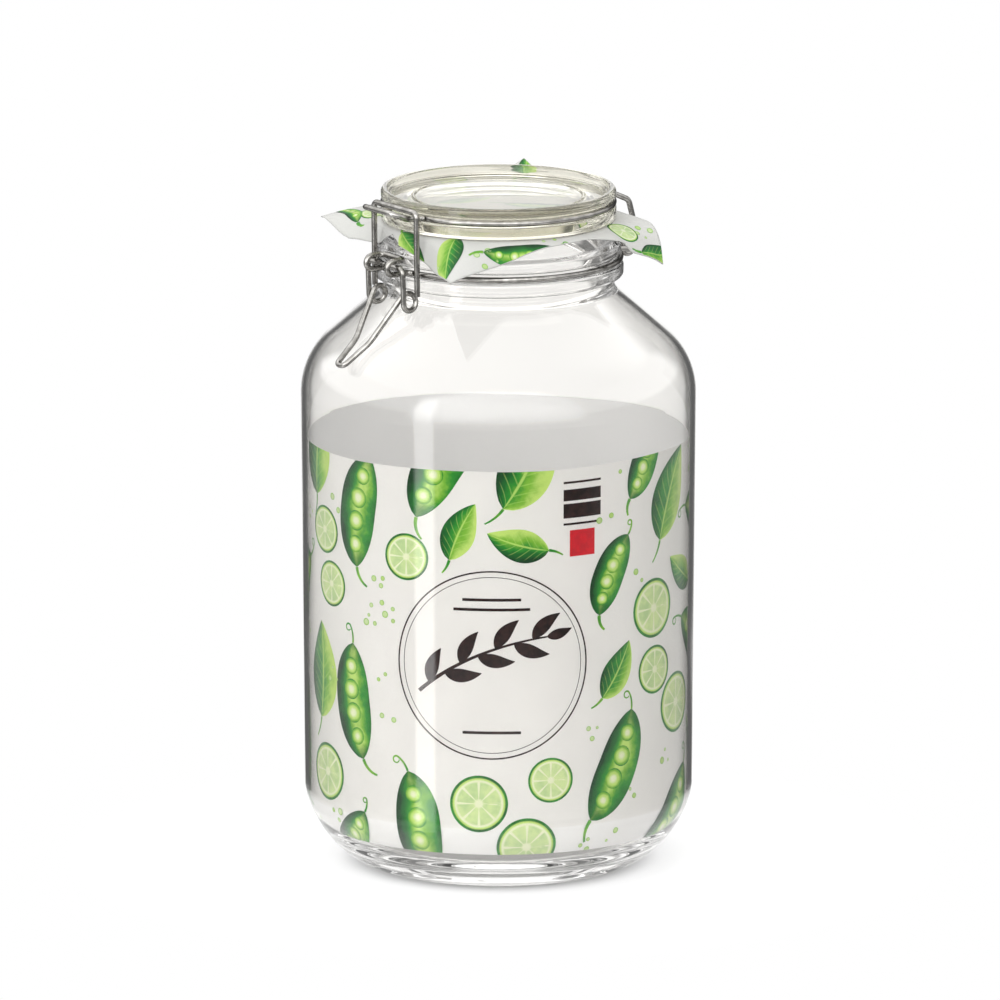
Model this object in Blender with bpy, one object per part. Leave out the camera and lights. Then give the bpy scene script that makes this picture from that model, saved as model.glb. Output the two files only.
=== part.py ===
"""Swing-top canning jar, shut, five litres, with printed paper inside and under its lid.

Lengths below are in millimetres and become metres when a mesh is made.
The origin is the middle of the base on the jar's axis, and +Z is up.
The closure faces -Y, the lid's hinge is at +Y, and both turn about lines along X.
Glass is turned, wires are swept tubes, and paper is thin bent sheet.
"""
import math

import bmesh
import bpy
from mathutils import Matrix, Vector

METRE = 0.001
TURN = 2.0 * math.pi
ROUND_STEPS = 48
RING_STEP = 360.0 / ROUND_STEPS

# Jar body
CONTACT_INNER_R = 53.0
CONTACT_OUTER_R = 58.5
PUSH_UP = 3.6
HEEL_TOP_R = 87.6
HEEL_TOP_Z = 36.0
HEEL_POWER = 1.62
WALL = 2.6
SHOULDER_R = 89.0
SHOULDER_Z = 215.0
SHOULDER_ARC = 35.0
SHOULDER_TURN = 49.0
FLOOR_Z = 9.0
FLOOR_R = 60.0
FLOOR_DOME = 0.8
INNER_HEEL_Z = 33.0

# Neck and mouth
NECK_R = 52.1
NECK_FILLET = 6.0
MOUTH_R = 47.2
LOW_BEAD_R = 56.3
LOW_BEAD_Z = (268.6, 275.2)
HIGH_BEAD_R = 55.2
HIGH_BEAD_Z = (279.0, 284.4)
WIRE_SEAT_R = 53.2
FINISH_R = 51.9
RIM_Z = 293.5
RIM_ROUND = 1.5
BEAD_FOOT = 0.4
LOW_BEAD_ROUND = 2.0
HIGH_BEAD_ROUND = 1.6
FINISH_STEP = 0.8

# Lid
LID_BASE_Z = 294.6
LID_FLANGE_R = 53.0
LID_FLANGE_Z = 300.2
LID_SEAT_R = 50.2
LID_WALL_Z = 303.8
LID_R = 52.9
LID_TOP_Z = 308.6
LID_RIB = 1.8
LID_DISH_Z = 304.4
LID_DISH_R = 47.6
LID_CIRCLE_R = 38.2
LID_UNDER_Z = 299.8
LID_UNDER_R = 39.5
LID_SEAL_R = 43.0
LID_EDGE_ROUND = 1.2
LID_CHAMFER = 0.5
LID_LIP = 1.0
DISH_WALL_R = 48.5
DISH_WALL_Z = 305.1
CIRCLE_HALF = 1.0
CIRCLE_RISE = 0.8

# Wires
WIRE_R = 1.3
LEVER_WIRE_R = 1.25
NECK_WIRE_R = 54.9
NECK_WIRE_Z = 277.0
EYE_X = 8.2
EYE_OUT = 66.4
EYE_HALF = 3.1
EYE_BEND = 3.09
CROSSBAR_OUT = 57.2
HINGE_BACK = 62.0
HINGE_Z = 276.0
HINGE_BAR_X = 18.0
LEG_X = 13.0
LEG_RING_R = 3.05
LEG_LIP_BACK = 53.6
LEG_LIP_Z = 301.6
LEG_TOP_BACK = 62.4
LEG_TOP_Z = 297.6
LEG_KNEE_Z = 288.0
LID_WIRE_R = 51.8
LID_WIRE_Z = 302.0
BEAK_X = 12.0
BEAK_OUT = 66.0
BEAK_Z = 305.5
BEAK_FOOT_OUT = 58.0
BEAK_FOOT_Z = 302.3
HASP_X = 16.6
HASP_OUT = 56.4
HASP_Z = 305.6
HASP_FOOT_OUT = 55.9
HASP_FOOT_Z = 267.6
LEVER_X = 13.55
LEVER_OUT = 61.8
LEVER_Z = NECK_WIRE_Z + EYE_HALF
LEVER_END_X = 5.6
TIGHT_BEND = 2.5
EASY_BEND = 4.0
LOOP_OUT = 57.4
LOOP_Z = 264.5
LOOP_R = 3.8
LOOP_INNER_X = 10.7
LOOP_START = 33.0
LOOP_END = 357.0
TIP_OUT = 86.4
TIP_Z = 237.2
TIP_HALF = 2.7
ARM_KNEE = (5.4, 74.0, 246.8)

# Paper
PAPER = 0.4
PAPER_GAP = 0.4
SLEEVE_FOOT_Z = 20.0
SLEEVE_TOP_Z = 196.6
SLEEVE_WAVE = 0.6
# The square sheet's corners, a little crept by its creases: angle from +X, and reach.
CORNERS = ((-51.2, 81.0), (41.5, 82.5), (136.5, 81.5), (-140.0, 83.0))
SQUARE_Z = 294.05
SIDE_STEPS = 10
RING_SHARES = (0.0, 0.14, 0.32, 0.52, 0.75, 1.0)
CREASE_R = 51.0
NOTCH = 4.0
# How the sheet leaves the rim: angle from +X, first slope, last slope, and the reach between.
DRAPE = (
    (-170.0, 0.0, 4.0, 8.0),
    (-139.0, 0.0, 12.0, 30.0),
    (-128.0, 12.0, 42.0, 12.0),
    (-110.0, 12.0, 80.0, 4.0),
    (-91.0, 12.0, 50.0, 3.0),
    (-70.0, 12.0, 80.0, 4.5),
    (-51.0, 16.0, 36.0, 20.0),
    (-28.0, 26.0, 62.0, 7.0),
    (-6.0, 14.0, 40.0, 6.0),
    (8.0, 2.0, 12.0, 6.0),
    (24.0, 4.0, 22.0, 10.0),
    (30.0, 8.0, 50.0, 14.0),
    (41.0, 7.0, 57.0, 27.0),
    (54.0, 0.0, 12.0, 20.0),
    (86.0, 4.0, 18.0, 6.0),
    (112.0, -6.0, -16.0, 10.0),
    (136.0, -8.0, -36.0, 27.0),
    (152.0, -6.0, -10.0, 12.0),
)


def clear_scene():
    for thing in list(bpy.data.objects):
        bpy.data.objects.remove(thing, do_unlink=True)


def finish(name, colour, roughness, metallic=0.0, see_through=0.0):
    material = bpy.data.materials.new(name)
    material.use_nodes = True
    shader = material.node_tree.nodes["Principled BSDF"]
    shader.inputs["Base Color"].default_value = (*colour, 1.0)
    shader.inputs["Roughness"].default_value = roughness
    shader.inputs["Metallic"].default_value = metallic
    shader.inputs["Transmission Weight"].default_value = see_through
    material.diffuse_color = (*colour, 1.0)
    return material


def put(name, mesh, material, smooth_angle=None):
    mesh.materials.append(material)
    if smooth_angle is not None:
        mesh.shade_smooth()
        mesh.set_sharp_from_angle(angle=math.radians(smooth_angle))
    thing = bpy.data.objects.new(name, mesh)
    bpy.context.scene.collection.objects.link(thing)
    return thing


def arc(centre, radius, start, end, pieces):
    """Points on an arc in the plane of radius and height, angles in degrees from outward."""
    points = []
    for number in range(pieces + 1):
        angle = math.radians(start + (end - start) * number / pieces)
        points.append((centre[0] + radius * math.cos(angle), centre[1] + radius * math.sin(angle)))
    return points


def heel(foot_r, foot_z, top_r, top_z, power, pieces):
    """The curve from the foot up to the wall: flat at the foot and upright at the top."""
    points = []
    for number in range(pieces + 1):
        angle = 0.5 * math.pi * number / pieces
        across = math.sin(angle) ** (2.0 / power)
        below = math.cos(angle) ** (2.0 / power)
        points.append((foot_r + (top_r - foot_r) * across, top_z - (top_z - foot_z) * below))
    return points


def shoulder_end(offset):
    """Where the shoulder's arc meets its cone, on a surface set in by the offset."""
    lean = math.radians(SHOULDER_TURN)
    reach = SHOULDER_ARC - offset
    middle = SHOULDER_R - SHOULDER_ARC
    return middle + reach * math.cos(lean), SHOULDER_Z + reach * math.sin(lean)


def neck_corner(neck_r, offset):
    """The height where the shoulder's cone would meet the upright neck."""
    start_r, start_z = shoulder_end(offset)
    rise = (start_r - neck_r) / math.tan(math.radians(SHOULDER_TURN))
    return start_z + rise


def neck_blend(neck_r, offset, fillet, pieces):
    """The hollow curve from the cone into the neck, on the fillet's outer side."""
    corner_z = neck_corner(neck_r, offset)
    reach = fillet * math.tan(0.5 * math.radians(SHOULDER_TURN))
    centre = (neck_r + fillet, corner_z + reach)
    return arc(centre, fillet, 180.0 + SHOULDER_TURN, 180.0, pieces)


def jar_outline():
    """Outer side from the middle of the base up to the rim, then the inside down to the floor."""
    points = [(0.0, PUSH_UP)]
    for share in (0.5, 0.85):
        points.append((CONTACT_INNER_R * share, PUSH_UP * (1.0 - share ** 2)))
    points.append((CONTACT_INNER_R, 0.0))
    points += heel(CONTACT_OUTER_R, 0.0, HEEL_TOP_R, HEEL_TOP_Z, HEEL_POWER, 7)
    points += arc((SHOULDER_R - SHOULDER_ARC, SHOULDER_Z), SHOULDER_ARC, 0.0, SHOULDER_TURN, 6)
    points += neck_blend(NECK_R, 0.0, NECK_FILLET, 3)
    points += [(NECK_R, LOW_BEAD_Z[0] - BEAD_FOOT)]
    bead_round = LOW_BEAD_ROUND
    middle_r = LOW_BEAD_R - bead_round
    points += arc((middle_r, LOW_BEAD_Z[0] + bead_round), bead_round, -60.0, 0.0, 2)
    points += arc((middle_r, LOW_BEAD_Z[1] - bead_round), bead_round, 0.0, 90.0, 2)
    points += [(WIRE_SEAT_R, LOW_BEAD_Z[1]), (WIRE_SEAT_R, HIGH_BEAD_Z[0])]
    bead_round = HIGH_BEAD_ROUND
    middle_r = HIGH_BEAD_R - bead_round
    points += arc((middle_r, HIGH_BEAD_Z[0] + bead_round), bead_round, -90.0, 0.0, 2)
    points += arc((middle_r, HIGH_BEAD_Z[1] - bead_round), bead_round, 0.0, 60.0, 2)
    points += [(FINISH_R, HIGH_BEAD_Z[1] + FINISH_STEP)]
    points += arc((FINISH_R - RIM_ROUND, RIM_Z - RIM_ROUND), RIM_ROUND, 0.0, 90.0, 2)
    points += arc((MOUTH_R + RIM_ROUND, RIM_Z - RIM_ROUND), RIM_ROUND, 90.0, 180.0, 2)
    inside = heel(FLOOR_R, FLOOR_Z, HEEL_TOP_R - WALL, INNER_HEEL_Z, 2.0, 6)
    inside += arc((SHOULDER_R - SHOULDER_ARC, SHOULDER_Z), SHOULDER_ARC - WALL, 0.0, SHOULDER_TURN, 5)
    inside += neck_blend(MOUTH_R, WALL, NECK_FILLET, 3)
    points += list(reversed(inside))
    points.append((0.0, FLOOR_Z + FLOOR_DOME))
    return points


def lid_outline():
    """Underside from its middle out to the flange, up past the wire's groove, then the dished top."""
    points = [(0.0, LID_UNDER_Z), (LID_UNDER_R, LID_UNDER_Z), (LID_SEAL_R, LID_BASE_Z)]
    edge = LID_EDGE_ROUND
    points += arc((LID_FLANGE_R - edge, LID_BASE_Z + edge), edge, -90.0, 0.0, 2)
    points += [(LID_FLANGE_R, LID_FLANGE_Z - LID_CHAMFER)]
    points += [(LID_FLANGE_R - LID_CHAMFER, LID_FLANGE_Z)]
    points += [(LID_SEAT_R, LID_FLANGE_Z), (LID_SEAT_R, LID_WALL_Z)]
    points += [(LID_R - LID_LIP, LID_WALL_Z), (LID_R, LID_WALL_Z + LID_LIP)]
    points += arc((LID_R - LID_RIB, LID_TOP_Z - LID_RIB), LID_RIB, 0.0, 180.0, 6)
    points += [(DISH_WALL_R, DISH_WALL_Z), (LID_DISH_R, LID_DISH_Z)]
    points += [(LID_CIRCLE_R + CIRCLE_HALF, LID_DISH_Z)]
    points += [(LID_CIRCLE_R, LID_DISH_Z + CIRCLE_RISE)]
    points += [(LID_CIRCLE_R - CIRCLE_HALF, LID_DISH_Z), (0.0, LID_DISH_Z)]
    return points


def turned(name, outline, material):
    """A solid of revolution from an outline that starts and ends on the axis."""
    shape = bmesh.new()
    corners = [shape.verts.new((METRE * radius, 0.0, METRE * height)) for radius, height in outline]
    edges = [shape.edges.new(pair) for pair in zip(corners, corners[1:])]
    bmesh.ops.spin(
        shape,
        geom=corners + edges,
        cent=(0.0, 0.0, 0.0),
        axis=(0.0, 0.0, 1.0),
        angle=TURN,
        steps=ROUND_STEPS,
        use_merge=True,
    )
    bmesh.ops.remove_doubles(shape, verts=shape.verts, dist=1e-6)
    bmesh.ops.recalc_face_normals(shape, faces=shape.faces)
    mesh = bpy.data.meshes.new(name)
    shape.to_mesh(mesh)
    shape.free()
    return put(name, mesh, material, smooth_angle=32.0)


def at(side, out, up):
    """A point beside the jar's middle plane, out towards the closure and up from the base."""
    return Vector((side, -out, up))


def around(radius, height, start, end):
    """Points of a level ring, angles in degrees from +X, at the glass's own steps."""
    count = max(1, round(abs(end - start) / RING_STEP))
    points = []
    for number in range(count + 1):
        angle = math.radians(start + (end - start) * number / count)
        points.append(Vector((radius * math.cos(angle), radius * math.sin(angle), height)))
    return points


def bend(before, corner, after, radius):
    """A wire's bend at a corner, as an arc that touches both of its straight runs."""
    inward = (before - corner).normalized()
    outward = (after - corner).normalized()
    turn = math.pi - inward.angle(outward)
    if radius == 0.0 or turn < 0.02:
        return [corner]
    reach = radius * math.tan(0.5 * turn)
    start = corner + inward * reach
    middle = corner + (inward + outward).normalized() * (radius / math.cos(0.5 * turn))
    spin_axis = inward.cross(outward).normalized()
    pieces = max(2, math.ceil(math.degrees(turn) / 28.0))
    points = []
    for number in range(pieces + 1):
        step = Matrix.Rotation(-turn * number / pieces, 3, spin_axis)
        points.append(middle + step @ (start - middle))
    return points


def mirrored(half):
    """A whole route from one half that starts on the middle plane, as (point, bend) pairs."""
    other = [(Vector((-point.x, point.y, point.z)), radius) for point, radius in half[1:]]
    return list(reversed(other)) + half


def wire(name, route, radius, closed, material):
    """A round wire along a route of corners and their bends."""
    points = []
    for number, (corner, bend_r) in enumerate(route):
        if not closed and number in (0, len(route) - 1):
            points.append(corner)
            continue
        before = route[number - 1][0]
        after = route[(number + 1) % len(route)][0]
        points += bend(before, corner, after, bend_r)
    curve = bpy.data.curves.new(name, "CURVE")
    curve.dimensions = "3D"
    curve.bevel_depth = METRE * radius
    curve.bevel_resolution = 2
    curve.use_fill_caps = not closed
    curve.materials.append(material)
    line = curve.splines.new("POLY")
    line.points.add(len(points) - 1)
    for number, point in enumerate(points):
        line.points[number].co = (*(METRE * point), 1.0)
    line.use_cyclic_u = closed
    line.use_smooth = True
    thing = bpy.data.objects.new(name, curve)
    bpy.context.scene.collection.objects.link(thing)
    return thing


def straight(points):
    return [(point, 0.0) for point in points]


def ring_corner(radius, side):
    """The angle from +X of a ring's point at a given distance beside the middle plane."""
    return math.degrees(math.acos(side / radius))


def neck_wire_route():
    """Round the neck, out and back as two eyes at the front, and out to the hinge bar behind."""
    top = NECK_WIRE_Z + 2.0 * EYE_HALF
    front = -ring_corner(NECK_WIRE_R, EYE_X)
    back = ring_corner(NECK_WIRE_R, HINGE_BAR_X)
    ring = around(NECK_WIRE_R, NECK_WIRE_Z, front, back)
    half = [(at(0.0, CROSSBAR_OUT, top), 0.0)]
    half.append((at(EYE_X, CROSSBAR_OUT, top), TIGHT_BEND))
    half.append((at(EYE_X, EYE_OUT, top), EYE_BEND))
    half.append((at(EYE_X, EYE_OUT, NECK_WIRE_Z), EYE_BEND))
    half.append((ring[0], TIGHT_BEND))
    half += straight(ring[1:-1])
    half.append((ring[-1], TIGHT_BEND))
    half.append((at(HINGE_BAR_X, -HINGE_BACK, HINGE_Z), TIGHT_BEND))
    half.append((at(0.0, -HINGE_BACK, HINGE_Z), 0.0))
    return mirrored(half)[1:]


def lid_wire_route():
    """Round the lid's groove, out to the beak at the front, and down to the hinge behind."""
    front = -ring_corner(LID_WIRE_R, BEAK_X)
    back = ring_corner(LID_WIRE_R, LEG_X)
    ring = around(LID_WIRE_R, LID_WIRE_Z, front, back)
    half = [(at(0.0, BEAK_OUT, BEAK_Z), 0.0)]
    half.append((at(BEAK_X, BEAK_OUT, BEAK_Z), EASY_BEND))
    half.append((at(BEAK_X, BEAK_FOOT_OUT, BEAK_FOOT_Z), 2.0 * EASY_BEND))
    half.append((ring[0], TIGHT_BEND))
    half += straight(ring[1:-1])
    half.append((ring[-1], TIGHT_BEND))
    half.append((at(LEG_X, -LEG_LIP_BACK, LEG_LIP_Z), EASY_BEND))
    half.append((at(LEG_X, -LEG_TOP_BACK, LEG_TOP_Z), EASY_BEND))
    half.append((at(LEG_X, -(HINGE_BACK + LEG_RING_R), LEG_KNEE_Z), 5.0 * EASY_BEND))
    pieces = 9
    for number in range(pieces + 1):
        angle = math.radians(-270.0 * number / pieces)
        back_by = HINGE_BACK + LEG_RING_R * math.cos(angle)
        half.append((at(LEG_X, -back_by, HINGE_Z + LEG_RING_R * math.sin(angle)), 0.0))
    return mirrored(half)


def hasp_route():
    """One bar over the beak and a leg down each side of it."""
    half = [(at(0.0, HASP_OUT, HASP_Z), 0.0)]
    half.append((at(HASP_X, HASP_OUT, HASP_Z), TIGHT_BEND))
    half.append((at(HASP_X, HASP_FOOT_OUT, HASP_FOOT_Z), 0.0))
    return mirrored(half)


def lever_route():
    """The thumb loop, a coil on each side, and ends turned in through the neck wire's eyes."""
    half = [(at(0.0, TIP_OUT, TIP_Z), 0.0)]
    half.append((at(TIP_HALF, TIP_OUT, TIP_Z), TIGHT_BEND))
    half.append((at(*ARM_KNEE), 4.0 * EASY_BEND))
    pieces = 12
    for number in range(pieces + 1):
        share = number / pieces
        angle = math.radians(LOOP_START + (LOOP_END - LOOP_START) * share)
        side = LOOP_INNER_X + (LEVER_X - LOOP_INNER_X) * share
        out = LOOP_OUT + LOOP_R * math.cos(angle)
        half.append((at(side, out, LOOP_Z + LOOP_R * math.sin(angle)), 0.0))
    half.append((at(LEVER_X, LEVER_OUT, LEVER_Z), TIGHT_BEND))
    half.append((at(LEVER_END_X, LEVER_OUT, LEVER_Z), 0.0))
    return mirrored(half)


def inner_radius(height):
    """The radius of the glass's inside at a height between the floor and the shoulder."""
    foot_r = HEEL_TOP_R - WALL
    if height >= INNER_HEEL_Z:
        share = (height - INNER_HEEL_Z) / (SHOULDER_Z - INNER_HEEL_Z)
        return foot_r + (SHOULDER_R - HEEL_TOP_R) * share
    below = (INNER_HEEL_Z - height) / (INNER_HEEL_Z - FLOOR_Z)
    return FLOOR_R + (foot_r - FLOOR_R) * math.sqrt(1.0 - below ** 2)


def paper_sleeve(material):
    """A rolled sheet that stands inside the wall, with a slightly wavy top edge."""
    shape = bmesh.new()
    heights = (SLEEVE_FOOT_Z, INNER_HEEL_Z, SLEEVE_TOP_Z)
    rings = []
    outer = [(height, 0.0) for height in heights]
    inner = [(height, PAPER) for height in reversed(heights)]
    for height, depth in outer + inner:
        radius = inner_radius(height) - PAPER_GAP - depth
        ring = []
        for step in range(ROUND_STEPS):
            angle = TURN * step / ROUND_STEPS
            lift = 0.0
            if height == SLEEVE_TOP_Z:
                lift = SLEEVE_WAVE * (math.sin(2.0 * angle + 0.8) + 0.5 * math.sin(5.0 * angle))
            place = (radius * math.cos(angle), radius * math.sin(angle), height + lift)
            ring.append(shape.verts.new(METRE * Vector(place)))
        rings.append(ring)
    for low, high in zip(rings, rings[1:] + rings[:1]):
        for step in range(ROUND_STEPS):
            after = (step + 1) % ROUND_STEPS
            shape.faces.new((low[step], low[after], high[after], high[step]))
    bmesh.ops.recalc_face_normals(shape, faces=shape.faces)
    mesh = bpy.data.meshes.new("paper_sleeve")
    shape.to_mesh(mesh)
    shape.free()
    return put("paper_sleeve", mesh, material, smooth_angle=40.0)


def drape_at(angle):
    """The first slope, the last slope and the reach between them, at an angle in degrees."""
    places = DRAPE + tuple((row[0] + 360.0, *row[1:]) for row in DRAPE)
    turned_to = angle if angle >= DRAPE[0][0] else angle + 360.0
    for low, high in zip(places, places[1:]):
        if low[0] <= turned_to <= high[0]:
            share = (turned_to - low[0]) / (high[0] - low[0])
            return [start + (end - start) * share for start, end in zip(low[1:], high[1:])]
    return list(DRAPE[0][1:])


def draped(angle, past):
    """How far out and down the sheet has gone when it has run this far past the rim."""
    first, last, reach = drape_at(angle)
    steps = 16
    width = past / steps
    out = 0.0
    down = 0.0
    for step in range(steps):
        share = min(1.0, (step + 0.5) * width / reach)
        slope = math.radians(first + (last - first) * share)
        out += width * math.cos(slope)
        down += width * math.sin(slope)
    return out, down


def square_edge():
    """The sheet's outline as (angle in degrees, reach from the axis), by its four sides."""
    outline = []
    corners = []
    for angle, reach in CORNERS:
        turn = math.radians(angle)
        corners.append(reach * Vector((math.cos(turn), math.sin(turn))))
    for side, start in enumerate(corners):
        end = corners[(side + 1) % len(corners)]
        for step in range(SIDE_STEPS):
            point = start.lerp(end, step / SIDE_STEPS)
            reach = point.length
            if side == 3 and step == SIDE_STEPS // 2:
                reach -= NOTCH
            outline.append((math.degrees(math.atan2(point.y, point.x)), reach))
    return outline


def paper_square(material):
    """The square sheet under the lid: level inside the rim, and draped over it outside."""
    shape = bmesh.new()
    outline = square_edge()
    rings = []
    for ring_share in RING_SHARES:
        ring = []
        for angle, reach in outline:
            out, down = draped(angle, (reach - CREASE_R) * ring_share)
            radius = CREASE_R + out
            turn = math.radians(angle)
            place = (radius * math.cos(turn), radius * math.sin(turn), SQUARE_Z - down)
            ring.append(shape.verts.new(METRE * Vector(place)))
        rings.append(ring)
    middle = shape.verts.new((0.0, 0.0, METRE * SQUARE_Z))
    count = len(outline)
    for step in range(count):
        after = (step + 1) % count
        shape.faces.new((middle, rings[0][step], rings[0][after]))
        for inner, outer in zip(rings, rings[1:]):
            shape.faces.new((inner[step], outer[step], outer[after]))
            shape.faces.new((inner[step], outer[after], inner[after]))
    mesh = bpy.data.meshes.new("paper_square")
    shape.to_mesh(mesh)
    shape.free()
    thing = put("paper_square", mesh, material, smooth_angle=40.0)
    skin = thing.modifiers.new("thickness", "SOLIDIFY")
    skin.thickness = METRE * PAPER
    skin.offset = 0.0
    return thing


def build():
    clear_scene()
    glass = finish("clear_glass", (0.90, 0.93, 0.92), 0.02, see_through=0.9)
    steel = finish("stainless_wire", (0.58, 0.58, 0.55), 0.28, metallic=1.0)
    paper = finish("printed_paper", (0.90, 0.92, 0.88), 0.75)
    turned("jar_glass", jar_outline(), glass)
    turned("lid_glass", lid_outline(), glass)
    wire("neck_wire", neck_wire_route(), WIRE_R, True, steel)
    wire("lid_wire", lid_wire_route(), WIRE_R, False, steel)
    wire("hasp", hasp_route(), WIRE_R, False, steel)
    wire("lever", lever_route(), LEVER_WIRE_R, False, steel)
    paper_sleeve(paper)
    paper_square(paper)


build()
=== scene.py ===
"""Looks for the swing-top canning jar: clear glass, bright wire and printed paper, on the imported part.

Lengths are in millimetres and become metres when a mesh is made.
The glass, the wires and the papers are made again from the part's own sizes, only finer,
and each rides on the body of the piece that it stands for.
"""
import math
import random

import bmesh
import bpy
from mathutils import Matrix, Vector

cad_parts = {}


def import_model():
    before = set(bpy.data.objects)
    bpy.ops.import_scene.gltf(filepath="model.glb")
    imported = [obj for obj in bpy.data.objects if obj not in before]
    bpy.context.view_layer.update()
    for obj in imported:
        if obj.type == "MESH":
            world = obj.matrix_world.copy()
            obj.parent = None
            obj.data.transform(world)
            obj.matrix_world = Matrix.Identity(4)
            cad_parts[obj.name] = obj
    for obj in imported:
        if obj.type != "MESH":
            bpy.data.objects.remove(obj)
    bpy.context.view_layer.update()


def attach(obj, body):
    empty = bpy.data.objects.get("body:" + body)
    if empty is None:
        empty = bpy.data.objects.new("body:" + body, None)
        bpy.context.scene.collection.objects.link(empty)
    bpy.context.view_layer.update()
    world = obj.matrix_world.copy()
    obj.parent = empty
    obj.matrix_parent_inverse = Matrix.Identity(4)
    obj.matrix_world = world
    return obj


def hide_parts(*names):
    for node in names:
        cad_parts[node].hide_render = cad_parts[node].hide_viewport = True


METRE = 0.001
TURN = 2.0 * math.pi
ROUND_STEPS = 192
TOUCHING = 1e-6

# Jar body
CONTACT_INNER_R = 53.0
CONTACT_OUTER_R = 58.5
PUSH_UP = 3.6
HEEL_TOP_R = 87.6
HEEL_TOP_Z = 36.0
HEEL_POWER = 1.62
WALL = 2.6
SHOULDER_R = 89.0
SHOULDER_Z = 215.0
SHOULDER_ARC = 35.0
SHOULDER_TURN = 49.0
FLOOR_Z = 9.0
FLOOR_R = 60.0
FLOOR_DOME = 0.8
INNER_HEEL_Z = 33.0

# Neck and mouth
NECK_R = 52.1
NECK_FILLET = 6.0
MOUTH_R = 47.2
LOW_BEAD_R = 56.3
LOW_BEAD_Z = (268.6, 275.2)
HIGH_BEAD_R = 55.2
HIGH_BEAD_Z = (279.0, 284.4)
WIRE_SEAT_R = 53.2
FINISH_R = 51.9
RIM_Z = 293.5
RIM_ROUND = 1.5
BEAD_FOOT = 0.4
LOW_BEAD_ROUND = 2.0
HIGH_BEAD_ROUND = 1.6
FINISH_STEP = 0.8

# Lid
LID_BASE_Z = 294.6
LID_FLANGE_R = 53.0
LID_FLANGE_Z = 300.2
LID_SEAT_R = 50.2
LID_WALL_Z = 303.8
LID_R = 52.9
LID_TOP_Z = 308.6
LID_RIB = 1.8
LID_DISH_Z = 304.4
LID_DISH_R = 47.6
LID_CIRCLE_R = 38.2
LID_UNDER_Z = 299.8
LID_UNDER_R = 39.5
LID_SEAL_R = 43.0
LID_EDGE_ROUND = 1.2
LID_CHAMFER = 0.5
LID_LIP = 1.0
DISH_WALL_R = 48.5
DISH_WALL_Z = 305.1
CIRCLE_HALF = 1.0
CIRCLE_RISE = 0.8

# Fire-polished corners: how far the rounding reaches, at most what share of a side, and the least turn
JAR_SOFT = 0.7
LID_SOFT = 0.5
SOFT_SHARE = 0.45
SOFT_STEPS = 4
CORNER_TURN = math.radians(16.0)

# Wires
WIRE_R = 1.3
LEVER_WIRE_R = 1.25
NECK_WIRE_R = 54.9
NECK_WIRE_Z = 277.0
EYE_X = 8.2
EYE_OUT = 66.4
EYE_HALF = 3.1
EYE_BEND = 3.09
CROSSBAR_OUT = 57.2
HINGE_BACK = 62.0
HINGE_Z = 276.0
HINGE_BAR_X = 18.0
LEG_X = 13.0
LEG_RING_R = 3.05
LEG_RING_TURN = -270.0
LEG_RING_STEPS = 27
LEG_LIP_BACK = 53.6
LEG_LIP_Z = 301.6
LEG_TOP_BACK = 62.4
LEG_TOP_Z = 297.6
LEG_KNEE_Z = 288.0
LID_WIRE_R = 51.8
LID_WIRE_Z = 302.0
BEAK_X = 12.0
BEAK_OUT = 66.0
BEAK_Z = 305.5
BEAK_FOOT_OUT = 58.0
BEAK_FOOT_Z = 302.3
HASP_X = 16.6
HASP_OUT = 56.4
HASP_Z = 305.6
HASP_FOOT_OUT = 55.9
HASP_FOOT_Z = 267.6
LEVER_X = 13.55
LEVER_OUT = 61.8
LEVER_Z = NECK_WIRE_Z + EYE_HALF
LEVER_END_X = 5.6
TIGHT_BEND = 2.5
EASY_BEND = 4.0
LOOP_OUT = 57.4
LOOP_Z = 264.5
LOOP_R = 3.8
LOOP_INNER_X = 10.7
LOOP_START = 33.0
LOOP_END = 357.0
LOOP_STEPS = 36
TIP_OUT = 86.4
TIP_Z = 237.2
TIP_HALF = 2.7
ARM_KNEE = (5.4, 74.0, 246.8)
BEND_STEP = 9.0
LEAST_BEND = 0.02

# Paper
PAPER = 0.4
PAPER_GAP = 0.4
SLEEVE_FOOT_Z = 20.0
SLEEVE_TOP_Z = 196.6
SLEEVE_WAVE = 0.6
SLEEVE_ROWS = 24
SHARP_EDGE = math.radians(50.0)
SQUARE_Z = 294.05
CREASE_R = 51.0
NOTCH_DEPTH = 4.0
NOTCH_HALF = 12.0
NOTCH_SIDE = 3

# The square sheet's corners: angle from +X and reach
CORNERS = ((-51.2, 81.0), (41.5, 82.5), (136.5, 81.5), (-140.0, 83.0))

# How the sheet falls past the rim: angle from +X, first slope, last slope and the reach between them
DRAPE = (
    (-170.0, 0.0, 4.0, 8.0),
    (-139.0, 0.0, 12.0, 30.0),
    (-128.0, 12.0, 42.0, 12.0),
    (-110.0, 12.0, 80.0, 4.0),
    (-91.0, 12.0, 50.0, 3.0),
    (-70.0, 12.0, 80.0, 4.5),
    (-51.0, 16.0, 36.0, 20.0),
    (-28.0, 26.0, 62.0, 7.0),
    (-6.0, 14.0, 40.0, 6.0),
    (8.0, 2.0, 12.0, 6.0),
    (24.0, 4.0, 22.0, 10.0),
    (30.0, 8.0, 50.0, 14.0),
    (41.0, 7.0, 57.0, 27.0),
    (54.0, 0.0, 12.0, 20.0),
    (86.0, 4.0, 18.0, 6.0),
    (112.0, -6.0, -16.0, 10.0),
    (136.0, -8.0, -36.0, 27.0),
    (152.0, -6.0, -10.0, 12.0),
)
DRAPE_EASE = 0.6
DRAPE_STEPS = 16
SLOPE_AHEAD = 0.2

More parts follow.
